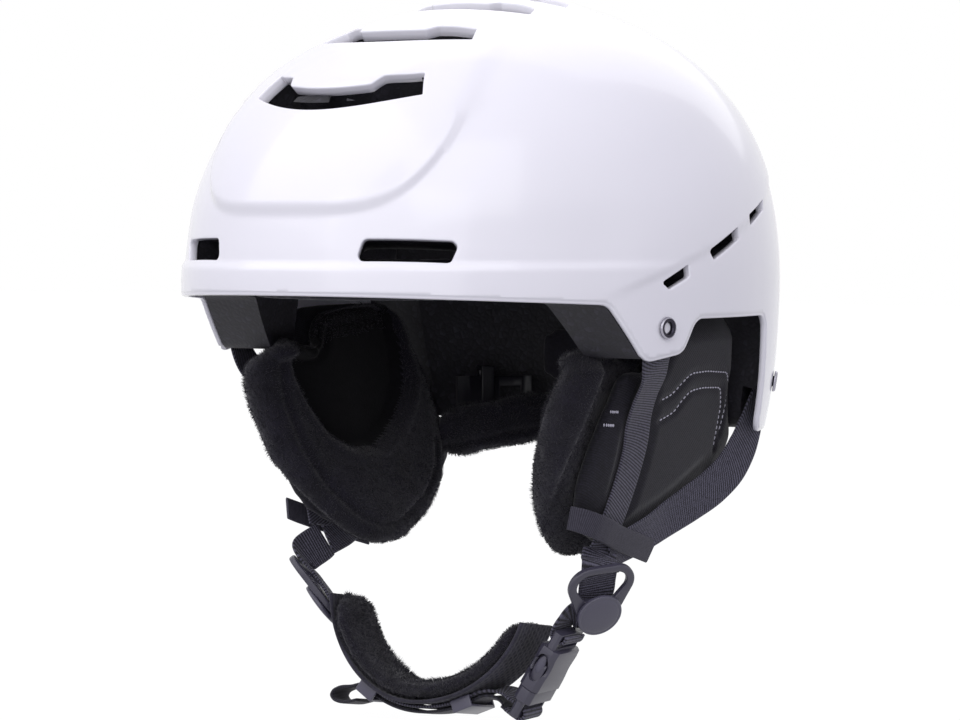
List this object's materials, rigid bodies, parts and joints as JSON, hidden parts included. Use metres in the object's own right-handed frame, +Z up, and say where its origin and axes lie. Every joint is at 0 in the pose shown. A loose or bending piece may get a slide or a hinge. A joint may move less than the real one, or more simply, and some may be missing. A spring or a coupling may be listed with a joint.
{
  "type": "ski helmet",
  "caption": "Vented ski helmet with foam liner, fleece ear pads and neck roll, dial fit system and buckled chin strap.",
  "frame": {"origin": "middle of the head opening, level with the brim of the shell", "axes": "+Z up to the crown, -Y out of the face opening, +X to the wearer's left"},
  "size_m": [0.2236, 0.2913, 0.2926],
  "materials": {
    "white_shell": "gloss white injection-moulded ABS",
    "liner_foam": "dark grey expanded foam with a pebbled bead face",
    "lining": "brushed tricot over foam",
    "dark_chrome": "dark polished nickel plating",
    "zinc": "dull zinc plating",
    "knit": "fine knitted fabric with double stitching",
    "fleece": "deep-pile fleece",
    "dark_nylon": "satin moulded nylon",
    "webbing": "ribbed polyester webbing",
    "elastic": "smooth woven elastic",
    "satin_plastic": "satin moulded acetal",
    "rubber": "soft overmoulded rubber"
  },
  "bodies": {
    "helmet": {"outer_shell": "white_shell", "impact_liner": "liner_foam", "brow_pad": "lining", "crown_pad": "lining", "side_pads": "lining", "strap_rivets": "dark_chrome", "rivet_washers": "zinc", "left_ear_cover": "knit", "right_ear_cover": "knit", "left_ear_fleece": "fleece", "right_ear_fleece": "fleece", "neck_roll": "fleece", "fit_housing": "dark_nylon", "arm_guides": "dark_nylon", "cradle_pad": "lining", "left_front_strap": "webbing", "right_front_strap": "webbing", "left_rear_strap": "webbing", "right_rear_strap": "webbing", "left_strap_keeper": "elastic", "right_strap_keeper": "elastic", "left_ring": "satin_plastic", "right_ring": "satin_plastic", "left_ring_disc": "satin_plastic", "right_ring_disc": "satin_plastic", "left_lower_strap": "webbing", "right_lower_strap": "webbing", "buckle_socket": "satin_plastic", "chin_pad": "fleece", "chin_pad_base": "knit", "chin_strap": "webbing", "chin_tail": "webbing", "chin_keepers": "elastic", "keeper_base": "dark_nylon", "snap_stud": "zinc"},
    "fit_dial": {"fit_dial": "rubber", "dial_pinion": "dark_nylon"},
    "left_arm": {"left_arm": "dark_nylon"},
    "right_arm": {"right_arm": "dark_nylon"},
    "buckle_plug": {"buckle_plug": "satin_plastic", "plug_webbing": "webbing"},
    "goggle_keeper": {"goggle_keeper": "rubber", "keeper_snap": "dark_chrome"}
  },
  "joints": [
    {"name": "dial_turn", "type": "hinge", "parent": "helmet", "child": "fit_dial", "pos_m": [0, 0.098, -0.044], "axis": [0, 1, 0], "range_deg": [-90, 90]},
    {"name": "left_arm_slide", "type": "hinge", "parent": "helmet", "child": "left_arm", "pos_m": [0, 0.031, -0.044], "axis": [0, 0, 1], "range_deg": [-8.06, 8.06]},
    {"name": "right_arm_slide", "type": "hinge", "parent": "helmet", "child": "right_arm", "pos_m": [0, 0.031, -0.044], "axis": [0, 0, 1], "range_deg": [-8.06, 8.06]},
    {"name": "buckle_release", "type": "slide", "parent": "helmet", "child": "buckle_plug", "axis": [-0.5153, -0.05, -0.8555], "range_m": [0, 0.016]},
    {"name": "keeper_swing", "type": "hinge", "parent": "helmet", "child": "goggle_keeper", "pos_m": [0, 0.14192, 0.02615], "axis": [1, 0, 0], "range_deg": [0, 100]}
  ],
  "couplings": [
    {"joint": "left_arm_slide", "follows": "dial_turn", "ratio": -0.089552},
    {"joint": "right_arm_slide", "follows": "dial_turn", "ratio": 0.089552}
  ]
}
